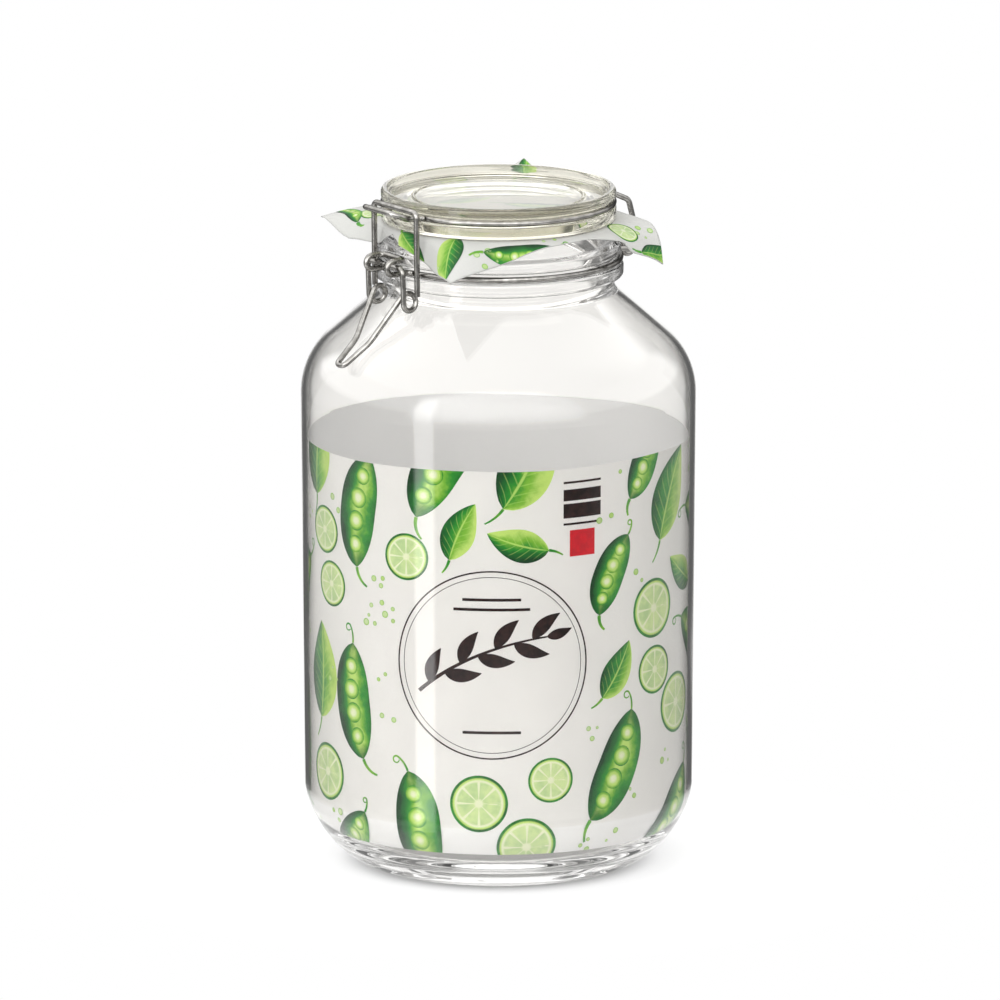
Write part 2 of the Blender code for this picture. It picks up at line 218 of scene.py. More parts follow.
# Camera, with its lengths in metres, and where the rolled sheet faces it
AZIMUTH = math.radians(55.0)
ELEVATION = math.radians(12.4)
DISTANCE = 8.0
AIM_Z = 0.1646
AIM_SIDE = 0.000676
PIXELS_PER_MM = 2.22
SENSOR = 36.0
FACING = -35.0


# Materials

class Value:
    """A number's socket: arithmetic on it adds Math nodes to its tree."""

    def __init__(self, tree, socket):
        self.tree = tree
        self.socket = socket

    def __neg__(self):
        return self.maths("MULTIPLY", self, -1.0)

    def maths(self, operation, *numbers):
        return self.tree.node("Math", {"operation": operation}, *numbers)

    def __add__(self, other):
        return self.maths("ADD", self, other)

    def __sub__(self, other):
        return self.maths("SUBTRACT", self, other)

    def __rsub__(self, other):
        return self.maths("SUBTRACT", other, self)

    def __mul__(self, other):
        return self.maths("MULTIPLY", self, other)

    __radd__ = __add__
    __rmul__ = __mul__

    def most(self, other):
        return self.maths("MAXIMUM", self, other)

    def size(self):
        return self.maths("ABSOLUTE", self)

    def sine(self):
        return self.maths("SINE", self)

    def step(self, low, high):
        """0 below low and 1 above high, with a soft change between; high may be the lower one."""
        settings = {"interpolation_type": "SMOOTHSTEP", "clamp": True}
        return self.tree.node("MapRange", settings, self, low, high, 0.0, 1.0)


class Tree:
    """The nodes of one material or world, all added by one method."""

    def __init__(self, owner):
        owner.use_nodes = True
        self.tree = owner.node_tree
        self.tree.nodes.clear()

    def node(self, kind, settings=None, *inputs, output=0, **named):
        made = self.tree.nodes.new("ShaderNode" + kind)
        for name, setting in (settings or {}).items():
            setattr(made, name, setting)
        sockets = [socket for socket in made.inputs if socket.enabled]
        for socket, given in zip(sockets, inputs):
            self.feed(socket, given)
        for name, given in named.items():
            wanted = name.replace("_", " ").lower()
            for socket in sockets:
                if socket.name.lower() == wanted:
                    self.feed(socket, given)
        outputs = [socket for socket in made.outputs if socket.enabled]
        return Value(self, outputs[output]) if outputs else made

    def feed(self, socket, given):
        if isinstance(given, Value):
            self.tree.links.new(given.socket, socket)
        elif isinstance(given, tuple) and len(given) == 3 and socket.type == "RGBA":
            socket.default_value = (*given, 1.0)
        else:
            socket.default_value = given

    def mix(self, share, first, second, how="MIX"):
        """Two colours mixed by a share."""
        settings = {"data_type": "RGBA", "blend_type": how}
        return self.node("Mix", settings, share, first, second)

    def place(self, stretch=(1.0, 1.0, 1.0)):
        """Places on the piece in metres, each part times its stretch."""
        here = self.node("TexCoord", None, output=3)
        return self.node("VectorMath", {"operation": "MULTIPLY"}, here, stretch)

    def cloud(self, scale, detail, rough, stretch=(1.0, 1.0, 1.0)):
        """Cloudy noise from 0 to 1, about a metre over scale across."""
        where = self.place(stretch)
        return self.node("TexNoise", None, vector=where, scale=scale, detail=detail, roughness=rough)

    def mark(self, name):
        """A number kept on the mesh's points."""
        return self.node("Attribute", {"attribute_name": name}, output=2)

    def bump(self, height, strength, depth):
        return self.node("Bump", None, height=height, strength=strength, distance=depth)

    def surface(self, **inputs):
        shader = self.node("BsdfPrincipled", None, **inputs)
        self.node("OutputMaterial", None, shader)


def srgb(red, green, blue):
    """A screen colour, 0 to 255, as the linear one that shaders use."""
    def linear(level):
        level = level / 255.0
        return level / 12.92 if level <= 0.04045 else ((level + 0.055) / 1.055) ** 2.4
    return linear(red), linear(green), linear(blue)


JAR_TINT = srgb(255, 254, 252)
JAR_RIPPLE = 0.10
LID_TINT = srgb(234, 231, 218)
LID_RIPPLE = 0.16
WIRE_DULL = srgb(144, 142, 138)
WIRE_BRIGHT = srgb(176, 174, 170)
SLEEVE_DULL = srgb(241, 240, 238)
SLEEVE_BRIGHT = srgb(248, 247, 245)
# Painted light: the rolled sheet's face towards the axis gets a brighter white than its outside, because
# too little light reaches it
SLEEVE_INSIDE_PAINTED_LIGHT = srgb(252, 252, 252)
# Painted shade: the square sheet is the same white paper as the sleeve, greyed to offset the strong light
# over the lid
SQUARE_SHADED_DULL = srgb(172, 172, 169)
SQUARE_SHADED_BRIGHT = srgb(179, 179, 175)
# Painted shade: the share by which the square's print is darkened, like its greyed sheet
SQUARE_INK_SHADE = 0.56
DARK_GREEN = srgb(0, 62, 24)
DEEP_GREEN = srgb(8, 104, 34)
MID_GREEN = srgb(40, 146, 42)
BRIGHT_GREEN = srgb(128, 192, 58)
PALE_GREEN = srgb(200, 232, 120)
CREAM_GREEN = srgb(242, 249, 214)
INK_DARK = srgb(24, 8, 8)
INK_THIN = srgb(52, 28, 26)
RED_BRIGHT = srgb(222, 30, 44)
RED_DULL = srgb(200, 30, 44)

# How many waves, patches, fibres or washes of colour go to a metre
GLASS_WAVES = 28.0
WIRE_PATCHES = 260.0
WIRE_GRIT = 1800.0
PAPER_FIBRES = 1400.0
PAPER_CLOUDS = 45.0
LEAF_WASH = 70.0
POD_WASH = 80.0
PEA_WASH = 160.0
SLICE_WASH = 120.0
INK_WASH = 300.0


def clear_glass(name, tint, ripple):
    """Pressed glass: clear, with the faint upright waviness that a mould leaves."""
    material = bpy.data.materials.new(name)
    tree = Tree(material)
    waves = tree.cloud(GLASS_WAVES, 1.0, 0.4, (1.0, 1.0, 0.45))
    normal = tree.bump(waves, ripple, METRE)
    tree.surface(base_color=tint, roughness=0.0, ior=1.5, transmission_weight=1.0, normal=normal)
    return material


def drawn_wire(name):
    """Bright drawn steel: a fine grit and slight tarnish in patches."""
    material = bpy.data.materials.new(name)
    tree = Tree(material)
    patches = tree.cloud(WIRE_PATCHES, 3.0, 0.6)
    grit = tree.cloud(WIRE_GRIT, 2.0, 0.6)
    colour = tree.mix(patches.step(0.35, 0.7), WIRE_DULL, WIRE_BRIGHT)
    rough = 0.15 + 0.1 * grit
    normal = tree.bump(grit, 0.12, 0.2 * METRE)
    tree.surface(
        base_color=colour,
        metallic=1.0,
        specular_tint=(0.4, 0.4, 0.4),
        roughness=rough,
        normal=normal,
    )
    return material


def white_paper(name, dull, bright, inside=None):
    """Matt white paper with fibres, a faint cloudiness and slight cockling.

    The brighter colour that is given as inside goes on the face towards the jar's axis, on the rolled sheet
    alone: painted light, which lifts that face where too little light reaches it.
    """
    material = bpy.data.materials.new(name)
    tree = Tree(material)
    fibres = tree.cloud(PAPER_FIBRES, 4.0, 0.65)
    clouds = tree.cloud(PAPER_CLOUDS, 3.0, 0.5)
    shade = 0.6 * fibres + 0.4 * clouds
    colour = tree.mix(shade.step(0.3, 0.7), dull, bright)
    # Painted light: the brighter colour goes on the face towards the axis
    if inside:
        flat = tree.place((1.0, 1.0, 0.0))
        radius = tree.node("VectorMath", {"operation": "LENGTH"}, flat, output=0)
        middle = METRE * (HEEL_TOP_R - WALL - PAPER_GAP - 0.5 * PAPER)
        height = tree.node("SeparateXYZ", None, tree.place(), output=2)
        lean = (SHOULDER_R - HEEL_TOP_R) / (SHOULDER_Z - INNER_HEEL_Z)
        outside = radius - (middle + lean * (height - METRE * INNER_HEEL_Z))
        blur = METRE * 0.05
        colour = tree.mix(outside.step(blur, -blur), colour, inside)
    height = 0.3 * fibres + clouds
    normal = tree.bump(height, 0.25, 0.6 * METRE)
    tree.surface(base_color=colour, roughness=0.72, specular_ior_level=0.3, normal=normal)
    return material


def printed(name, colours, level=1.0):
    """A matt printed colour that colours() makes from a tree; a level under 1 darkens it, a painted shade
    like that of the grey square sheet under it.
    """
    material = bpy.data.materials.new(name)
    tree = Tree(material)
    fibres = tree.cloud(PAPER_FIBRES, 4.0, 0.65)
    normal = tree.bump(fibres, 0.15, 0.4 * METRE)
    colour = colours(tree)
    # Painted shade: the print is darkened like the greyed sheet under it
    if level < 1.0:
        colour = tree.mix(1.0, colour, (level, level, level), "MULTIPLY")
    tree.surface(base_color=colour, roughness=0.62, specular_ior_level=0.35, normal=normal)
    return material


def leaf_colours(tree):
    """Wet green washes, darker along one edge and at the base, with a pale midrib and veins."""
    across = tree.mark("across")
    along = tree.mark("along")
    wash = tree.cloud(LEAF_WASH, 4.0, 0.6)
    depth = 0.8 * across + 1.6 * (wash - 0.5) + 0.3 * (0.5 - along)
    colour = tree.mix(depth.step(-0.7, -0.2), PALE_GREEN, BRIGHT_GREEN)
    colour = tree.mix(depth.step(-0.25, 0.15), colour, MID_GREEN)
    colour = tree.mix(depth.step(0.1, 0.5), colour, DEEP_GREEN)
    colour = tree.mix(depth.step(0.5, 0.95), colour, DARK_GREEN)
    rib = across.size().step(0.08, 0.03)
    veins = (52.0 * along - 12.0 * across.size()).sine().step(0.8, 0.97)
    pale = rib.most(0.4 * veins * across.size().step(0.9, 0.6))
    return tree.mix(0.75 * pale, colour, PALE_GREEN)


def pod_colours(tree):
    """A deep edge that runs into a pale yellow-green middle."""
    across = tree.mark("across")
    along = tree.mark("along")
    wash = tree.cloud(POD_WASH, 4.0, 0.6)
    edge = across.size() + 1.2 * (wash - 0.5) + 0.35 * across
    colour = tree.mix(edge.step(0.0, 0.35), PALE_GREEN, BRIGHT_GREEN)
    colour = tree.mix(edge.step(0.25, 0.55), colour, MID_GREEN)
    colour = tree.mix(edge.step(0.5, 0.85), colour, DEEP_GREEN)
    colour = tree.mix(edge.step(0.85, 1.2), colour, DARK_GREEN)
    ends = ((along - 0.5).size() + 0.3 * (wash - 0.5)).step(0.3, 0.48)
    return tree.mix(0.8 * ends, colour, DEEP_GREEN)


def pea_colours(tree):
    """Round peas, pale in the middle and greener towards the edge."""
    across = tree.mark("across")
    wash = tree.cloud(PEA_WASH, 3.0, 0.6)
    edge = across + 0.5 * (wash - 0.5)
    colour = tree.mix(edge.step(0.15, 0.6), CREAM_GREEN, PALE_GREEN)
    colour = tree.mix(edge.step(0.6, 0.85), colour, BRIGHT_GREEN)
    return tree.mix(edge.step(0.85, 1.0), colour, MID_GREEN)


def slice_colours(tree):
    """A green rind, a pale band and eight soft segments."""
    across = tree.mark("across")
    along = tree.mark("along")
    wash = tree.cloud(SLICE_WASH, 3.0, 0.6)
    segments = 8.0
    spoke = (0.5 * segments * TURN * along).sine().size()
    inside = across.step(0.8, 0.72) * spoke.step(0.14, 0.36) * across.step(0.1, 0.2)
    tone = tree.mix(wash.step(0.3, 0.65), BRIGHT_GREEN, PALE_GREEN)
    colour = tree.mix(0.55 * inside, CREAM_GREEN, tone)
    colour = tree.mix(across.step(0.8, 0.88), colour, PALE_GREEN)
    rind = across.step(0.88, 0.93)
    deep = tree.mix(wash.step(0.35, 0.65), DEEP_GREEN, MID_GREEN)
    return tree.mix(rind, colour, deep)


def stroke_colours(tree):
    """Stalks and tendrils."""
    wash = tree.cloud(SLICE_WASH, 3.0, 0.6)
    return tree.mix(wash.step(0.35, 0.65), BRIGHT_GREEN, MID_GREEN)


def dot_colours(tree):
    """Small splashes, pale with a greener rim."""
    across = tree.mark("across")
    wash = tree.cloud(SLICE_WASH, 3.0, 0.6)
    colour = tree.mix(wash.step(0.3, 0.7), CREAM_GREEN, PALE_GREEN)
    return tree.mix(0.3 + 0.6 * across.step(0.6, 0.95), colour, BRIGHT_GREEN)


def ink_colours(tree):
    """Dark brown ink, thinner in places."""
    wash = tree.cloud(INK_WASH, 3.0, 0.6)
    return tree.mix(wash.step(0.3, 0.7), INK_DARK, INK_THIN)


def red_colours(tree):
    wash = tree.cloud(INK_WASH, 3.0, 0.6)
    return tree.mix(wash.step(0.3, 0.7), RED_BRIGHT, RED_DULL)


# The finishes of the garden motifs, and those of the badge and the tag
GARDEN_INKS = {
    "leaf": leaf_colours,
    "pod": pod_colours,
    "pea": pea_colours,
    "slice": slice_colours,
    "stroke": stroke_colours,
    "dot": dot_colours,
}
SIGN_INKS = {
    "ink": ink_colours,
    "red": red_colours,
}


# Turned glass

def arc(centre, radius, start, end, pieces):
    """Points on an arc in the plane of radius and height, angles in degrees from outward."""
    points = []
    for number in range(pieces + 1):
        angle = math.radians(start + (end - start) * number / pieces)
        points.append((centre[0] + radius * math.cos(angle), centre[1] + radius * math.sin(angle)))
    return points


def heel(foot_r, foot_z, top_r, top_z, power, pieces):
    """The curve from the foot up to the wall: flat at the foot and upright at the top."""
    points = []
    for number in range(pieces + 1):
        angle = 0.5 * math.pi * number / pieces
        across = math.sin(angle) ** (2.0 / power)
        below = math.cos(angle) ** (2.0 / power)
        points.append((foot_r + (top_r - foot_r) * across, top_z - (top_z - foot_z) * below))
    return points


def shoulder_end(offset):
    """Where the shoulder's arc meets its cone, on a surface set in by the offset."""
    lean = math.radians(SHOULDER_TURN)
    reach = SHOULDER_ARC - offset
    middle = SHOULDER_R - SHOULDER_ARC
    return middle + reach * math.cos(lean), SHOULDER_Z + reach * math.sin(lean)


def neck_blend(neck_r, offset, fillet, pieces):
    """The hollow curve from the cone into the neck."""
    start_r, start_z = shoulder_end(offset)
    corner_z = start_z + (start_r - neck_r) / math.tan(math.radians(SHOULDER_TURN))
    reach = fillet * math.tan(0.5 * math.radians(SHOULDER_TURN))
    return arc((neck_r + fillet, corner_z + reach), fillet, 180.0 + SHOULDER_TURN, 180.0, pieces)


def jar_outline():
    """Outer side from the middle of the base up to the rim, then the inside down to the floor."""
    points = [(0.0, PUSH_UP)]
    for share in (0.3, 0.5, 0.7, 0.85, 0.94):
        points.append((CONTACT_INNER_R * share, PUSH_UP * (1.0 - share ** 2)))
    points.append((CONTACT_INNER_R, 0.0))
    points += heel(CONTACT_OUTER_R, 0.0, HEEL_TOP_R, HEEL_TOP_Z, HEEL_POWER, 24)
    points += arc((SHOULDER_R - SHOULDER_ARC, SHOULDER_Z), SHOULDER_ARC, 0.0, SHOULDER_TURN, 20)
    points += neck_blend(NECK_R, 0.0, NECK_FILLET, 8)
    points += [(NECK_R, LOW_BEAD_Z[0] - BEAD_FOOT)]
    bead_round = LOW_BEAD_ROUND
    middle_r = LOW_BEAD_R - bead_round
    points += arc((middle_r, LOW_BEAD_Z[0] + bead_round), bead_round, -60.0, 0.0, 6)
    points += arc((middle_r, LOW_BEAD_Z[1] - bead_round), bead_round, 0.0, 90.0, 8)
    points += [(WIRE_SEAT_R, LOW_BEAD_Z[1]), (WIRE_SEAT_R, HIGH_BEAD_Z[0])]
    bead_round = HIGH_BEAD_ROUND
    middle_r = HIGH_BEAD_R - bead_round
    points += arc((middle_r, HIGH_BEAD_Z[0] + bead_round), bead_round, -90.0, 0.0, 8)
    points += arc((middle_r, HIGH_BEAD_Z[1] - bead_round), bead_round, 0.0, 60.0, 6)
    points += [(FINISH_R, HIGH_BEAD_Z[1] + FINISH_STEP)]
    points += arc((FINISH_R - RIM_ROUND, RIM_Z - RIM_ROUND), RIM_ROUND, 0.0, 90.0, 6)
    points += arc((MOUTH_R + RIM_ROUND, RIM_Z - RIM_ROUND), RIM_ROUND, 90.0, 180.0, 6)
    inside = heel(FLOOR_R, FLOOR_Z, HEEL_TOP_R - WALL, INNER_HEEL_Z, 2.0, 18)
    inside += arc((SHOULDER_R - SHOULDER_ARC, SHOULDER_Z), SHOULDER_ARC - WALL, 0.0, SHOULDER_TURN, 18)
    inside += neck_blend(MOUTH_R, WALL, NECK_FILLET, 8)
    points += list(reversed(inside))
    for share in (0.75, 0.5, 0.25):
        points.append((FLOOR_R * share, FLOOR_Z + FLOOR_DOME * (1.0 - share ** 2)))
    points.append((0.0, FLOOR_Z + FLOOR_DOME))
    return points


def lid_outline():
    """Underside from its middle out to the flange, up past the wire's groove, then the dished top."""
    edge = LID_EDGE_ROUND
    return [
        (0.0, LID_UNDER_Z),
        (LID_UNDER_R, LID_UNDER_Z),
        (LID_SEAL_R, LID_BASE_Z),
        *arc((LID_FLANGE_R - edge, LID_BASE_Z + edge), edge, -90.0, 0.0, 6),
        (LID_FLANGE_R, LID_FLANGE_Z - LID_CHAMFER),
        (LID_FLANGE_R - LID_CHAMFER, LID_FLANGE_Z),
        (LID_SEAT_R, LID_FLANGE_Z),
        (LID_SEAT_R, LID_WALL_Z),
        (LID_R - LID_LIP, LID_WALL_Z),
        (LID_R, LID_WALL_Z + LID_LIP),
        *arc((LID_R - LID_RIB, LID_TOP_Z - LID_RIB), LID_RIB, 0.0, 180.0, 16),
        (DISH_WALL_R, DISH_WALL_Z),
        (LID_DISH_R, LID_DISH_Z),
        (LID_CIRCLE_R + CIRCLE_HALF, LID_DISH_Z),
        (LID_CIRCLE_R, LID_DISH_Z + CIRCLE_RISE),
        (LID_CIRCLE_R - CIRCLE_HALF, LID_DISH_Z),
        (0.0, LID_DISH_Z),
    ]


def softened(points, reach):
    """The outline with every clear corner rounded, as fire-polished glass is."""
    result = [points[0]]
    for before, corner, after in zip(points, points[1:], points[2:]):
        middle = Vector(corner)
        inward = Vector(before) - middle
        outward = Vector(after) - middle
        if inward.length < TOUCHING or outward.length < TOUCHING:
            continue
        if math.pi - inward.angle(outward) < CORNER_TURN:
            result.append(corner)
            continue
        cut = min(reach, SOFT_SHARE * inward.length, SOFT_SHARE * outward.length)
        start = middle + inward.normalized() * cut
        end = middle + outward.normalized() * cut
        for step in range(SOFT_STEPS + 1):
            share = step / SOFT_STEPS
            point = start * (1.0 - share) ** 2 + middle * 2.0 * share * (1.0 - share) + end * share ** 2
            result.append((point.x, point.y))
    result.append(points[-1])
    return result


def show(name, shape, material):
    """The shape as a smooth piece in the scene."""
    mesh = bpy.data.meshes.new(name)
    shape.to_mesh(mesh)
    shape.free()
    mesh.shade_smooth()
    mesh.materials.append(material)
    thing = bpy.data.objects.new(name, mesh)
    bpy.context.scene.collection.objects.link(thing)
    return thing


def turned(name, outline, material):
    """A smooth solid of revolution from an outline that starts and ends on the axis."""
    shape = bmesh.new()
    corners = [shape.verts.new((METRE * radius, 0.0, METRE * height)) for radius, height in outline]
    edges = [shape.edges.new(pair) for pair in zip(corners, corners[1:])]
    bmesh.ops.spin(
        shape,
        geom=corners + edges,
        cent=(0.0, 0.0, 0.0),
        axis=(0.0, 0.0, 1.0),
        angle=TURN,
        steps=ROUND_STEPS,
        use_merge=True,
    )
    bmesh.ops.remove_doubles(shape, verts=shape.verts, dist=TOUCHING)
    bmesh.ops.recalc_face_normals(shape, faces=shape.faces)
    return show(name, shape, material)


# Wires

def at(side, out, up):
    """A point beside the jar's middle plane, out towards the closure and up from the base."""
    return Vector((side, -out, up))


def around(radius, height, start, end):
    """Points of a level ring, angles in degrees from +X."""
    count = max(1, round(abs(end - start) * ROUND_STEPS / 360.0))
    points = []
    for number in range(count + 1):
        angle = math.radians(start + (end - start) * number / count)
        points.append(Vector((radius * math.cos(angle), radius * math.sin(angle), height)))
    return points


def bend(before, corner, after, radius):
    """A wire's bend at a corner, as an arc that touches both of its straight runs."""
    inward = (before - corner).normalized()
    outward = (after - corner).normalized()
    turn = math.pi - inward.angle(outward)
    if radius == 0.0 or turn < LEAST_BEND:
        return [corner]
    reach = radius * math.tan(0.5 * turn)
    start = corner + inward * reach
    middle = corner + (inward + outward).normalized() * (radius / math.cos(0.5 * turn))
    spin_axis = inward.cross(outward).normalized()
    pieces = max(3, math.ceil(math.degrees(turn) / BEND_STEP))
    points = []
    for number in range(pieces + 1):
        step = Matrix.Rotation(-turn * number / pieces, 3, spin_axis)
        points.append(middle + step @ (start - middle))
    return points


def mirrored(half):
    """A whole route from one half that starts on the middle plane, as (point, bend) pairs."""
    other = [(Vector((-point.x, point.y, point.z)), radius) for point, radius in half[1:]]
    return list(reversed(other)) + half


def wire(name, route, radius, closed, material):
    """A round wire along a route of corners and their bends."""
    points = []
    for number, (corner, bend_r) in enumerate(route):
        if not closed and number in (0, len(route) - 1):
            points.append(corner)
            continue
        before = route[number - 1][0]
        after = route[(number + 1) % len(route)][0]
        points += bend(before, corner, after, bend_r)
    curve = bpy.data.curves.new(name, "CURVE")
    curve.dimensions = "3D"
    curve.bevel_depth = METRE * radius
    curve.bevel_resolution = 5
    curve.use_fill_caps = not closed
    curve.materials.append(material)
    line = curve.splines.new("POLY")
    line.points.add(len(points) - 1)
    for number, point in enumerate(points):
        line.points[number].co = (*(METRE * point), 1.0)
    line.use_cyclic_u = closed
    line.use_smooth = True
    thing = bpy.data.objects.new(name, curve)
    bpy.context.scene.collection.objects.link(thing)
    return thing


def straight(points):
    """A stretch of a route with no bends at its points."""
    return [(point, 0.0) for point in points]


def ring_corner(radius, side):
    """The angle from +X of a ring's point at a given distance beside the middle plane."""
    return math.degrees(math.acos(side / radius))


def neck_wire_route():
    """Round the neck, out and back as two eyes at the front, and out to the hinge bar behind."""
    top = NECK_WIRE_Z + 2.0 * EYE_HALF
    front = -ring_corner(NECK_WIRE_R, EYE_X)
    back = ring_corner(NECK_WIRE_R, HINGE_BAR_X)
    ring = around(NECK_WIRE_R, NECK_WIRE_Z, front, back)
    half = [
        (at(0.0, CROSSBAR_OUT, top), 0.0),
        (at(EYE_X, CROSSBAR_OUT, top), TIGHT_BEND),
        (at(EYE_X, EYE_OUT, top), EYE_BEND),
        (at(EYE_X, EYE_OUT, NECK_WIRE_Z), EYE_BEND),
        (ring[0], TIGHT_BEND),
        *straight(ring[1:-1]),
        (ring[-1], TIGHT_BEND),
        (at(HINGE_BAR_X, -HINGE_BACK, HINGE_Z), TIGHT_BEND),
        (at(0.0, -HINGE_BACK, HINGE_Z), 0.0),
    ]
    return mirrored(half)[1:]


def lid_wire_route():
    """Round the lid's groove, out to the beak at the front, and down to the hinge behind."""
    front = -ring_corner(LID_WIRE_R, BEAK_X)
    back = ring_corner(LID_WIRE_R, LEG_X)
    ring = around(LID_WIRE_R, LID_WIRE_Z, front, back)
    half = [
        (at(0.0, BEAK_OUT, BEAK_Z), 0.0),
        (at(BEAK_X, BEAK_OUT, BEAK_Z), EASY_BEND),
        (at(BEAK_X, BEAK_FOOT_OUT, BEAK_FOOT_Z), 2.0 * EASY_BEND),
        (ring[0], TIGHT_BEND),
        *straight(ring[1:-1]),
        (ring[-1], TIGHT_BEND),
        (at(LEG_X, -LEG_LIP_BACK, LEG_LIP_Z), EASY_BEND),
        (at(LEG_X, -LEG_TOP_BACK, LEG_TOP_Z), EASY_BEND),
        (at(LEG_X, -(HINGE_BACK + LEG_RING_R), LEG_KNEE_Z), 5.0 * EASY_BEND),
    ]
    for number in range(LEG_RING_STEPS + 1):
        angle = math.radians(LEG_RING_TURN * number / LEG_RING_STEPS)
        back_by = HINGE_BACK + LEG_RING_R * math.cos(angle)
        half.append((at(LEG_X, -back_by, HINGE_Z + LEG_RING_R * math.sin(angle)), 0.0))
    return mirrored(half)


def hasp_route():
    """One bar over the beak and a leg down each side of it."""
    return mirrored([
        (at(0.0, HASP_OUT, HASP_Z), 0.0),
        (at(HASP_X, HASP_OUT, HASP_Z), TIGHT_BEND),
        (at(HASP_X, HASP_FOOT_OUT, HASP_FOOT_Z), 0.0),
    ])


def lever_route():
    """The thumb loop, a coil on each side, and ends turned in through the neck wire's eyes."""
    half = [
        (at(0.0, TIP_OUT, TIP_Z), 0.0),
        (at(TIP_HALF, TIP_OUT, TIP_Z), TIGHT_BEND),
        (at(*ARM_KNEE), 4.0 * EASY_BEND),
    ]
    for number in range(LOOP_STEPS + 1):
        share = number / LOOP_STEPS
        angle = math.radians(LOOP_START + (LOOP_END - LOOP_START) * share)
        side = LOOP_INNER_X + (LEVER_X - LOOP_INNER_X) * share
        out = LOOP_OUT + LOOP_R * math.cos(angle)
        half.append((at(side, out, LOOP_Z + LOOP_R * math.sin(angle)), 0.0))
    half.append((at(LEVER_X, LEVER_OUT, LEVER_Z), TIGHT_BEND))
    half.append((at(LEVER_END_X, LEVER_OUT, LEVER_Z), 0.0))
    return mirrored(half)


# Papers

def inner_radius(height):
    """The radius of the glass's inside at a height between the floor and the shoulder."""
    foot_r = HEEL_TOP_R - WALL
    if height >= INNER_HEEL_Z:
        share = (height - INNER_HEEL_Z) / (SHOULDER_Z - INNER_HEEL_Z)
        return foot_r + (SHOULDER_R - HEEL_TOP_R) * share
    below = (INNER_HEEL_Z - height) / (INNER_HEEL_Z - FLOOR_Z)
    return FLOOR_R + (foot_r - FLOOR_R) * math.sqrt(1.0 - below ** 2)


def sleeve_top(angle):
    """The slightly wavy top edge of the rolled sheet."""
    return SLEEVE_TOP_Z + SLEEVE_WAVE * (math.sin(2.0 * angle + 0.8) + 0.5 * math.sin(5.0 * angle))


def on_sleeve(run, height, lift):
    """A place on the rolled sheet: run along it from the face towards the camera, and height."""
    angle = math.radians(FACING) + run / (HEEL_TOP_R - WALL)
    share = (height - SLEEVE_FOOT_Z) / (SLEEVE_TOP_Z - SLEEVE_FOOT_Z)
    level = SLEEVE_FOOT_Z + (sleeve_top(angle) - SLEEVE_FOOT_Z) * share
    radius = inner_radius(level) - PAPER_GAP + lift
    return Vector((radius * math.cos(angle), radius * math.sin(angle), level))


def paper_sleeve(material):
    """The rolled sheet inside the wall."""
    shape = bmesh.new()
    shares = [number / SLEEVE_ROWS for number in range(SLEEVE_ROWS + 1)]
    profile = [(share, 0.0) for share in shares]
    profile += [(share, PAPER) for share in reversed(shares)]
    rings = []
    for share, depth in profile:
        ring = []
        for step in range(ROUND_STEPS):
            angle = TURN * step / ROUND_STEPS
            height = SLEEVE_FOOT_Z + (sleeve_top(angle) - SLEEVE_FOOT_Z) * share
            radius = inner_radius(height) - PAPER_GAP - depth
            place = (radius * math.cos(angle), radius * math.sin(angle), height)
            ring.append(shape.verts.new(METRE * Vector(place)))
        rings.append(ring)
    for low, high in zip(rings, rings[1:] + rings[:1]):
        for step in range(ROUND_STEPS):
            after = (step + 1) % ROUND_STEPS
            shape.faces.new((low[step], low[after], high[after], high[step]))
    bmesh.ops.recalc_face_normals(shape, faces=shape.faces)
    thing = show("rolled_paper", shape, material)
    thing.data.set_sharp_from_angle(angle=SHARP_EDGE)
    return thing


def drape_at(angle):
    """The first slope, the last slope and the reach between them, at an angle in degrees."""
    places = DRAPE + tuple((row[0] + 360.0, *row[1:]) for row in DRAPE)
    turned_to = angle if angle >= DRAPE[0][0] else angle + 360.0
    for low, high in zip(places, places[1:]):
        if low[0] <= turned_to <= high[0]:
            share = (turned_to - low[0]) / (high[0] - low[0])
            eased = share * share * (3.0 - 2.0 * share)
            share = DRAPE_EASE * eased + (1.0 - DRAPE_EASE) * share
            return [start + (end - start) * share for start, end in zip(low[1:], high[1:])]
    return list(DRAPE[0][1:])


def draped(angle, past):
    """How far out and down the sheet has gone when it has run this far past the rim."""
    first, last, reach = drape_at(angle)
    width = past / DRAPE_STEPS
    out = 0.0
    down = 0.0
    for step in range(DRAPE_STEPS):
        share = min(1.0, (step + 0.5) * width / reach)
        slope = math.radians(first + (last - first) * share)
        out += width * math.cos(slope)
        down += width * math.sin(slope)
    return out, down


def on_square(x, y, lift):
    """Where a point of the flat square sheet lies once it is draped over the rim."""
    reach = math.hypot(x, y)
    if reach <= CREASE_R:
        return Vector((x, y, SQUARE_Z + lift))
    angle = math.atan2(y, x)
    past = reach - CREASE_R
    out, down = draped(math.degrees(angle), past)
    ahead_out, ahead_down = draped(math.degrees(angle), past + SLOPE_AHEAD)
    slope = math.atan2(ahead_down - down, ahead_out - out)
    radius = CREASE_R + out + lift * math.sin(slope)
    height = SQUARE_Z - down + lift * math.cos(slope)
    return Vector((radius * math.cos(angle), radius * math.sin(angle), height))


def square_edge(side_steps):
    """The sheet's flat outline, by its four sides."""
    outline = []
    corners = []
    for angle, reach in CORNERS:
        turn = math.radians(angle)
        corners.append(reach * Vector((math.cos(turn), math.sin(turn))))
    for side, start in enumerate(corners):
        end = corners[(side + 1) % len(corners)]
        for step in range(side_steps):
            point = start.lerp(end, step / side_steps)
            from_notch = abs(step / side_steps - 0.5) * (end - start).length
            if side == NOTCH_SIDE and from_notch < NOTCH_HALF:
                depth = NOTCH_DEPTH * (1.0 - from_notch / NOTCH_HALF)
                point = point * (1.0 - depth / point.length)
            outline.append(point)
    return outline


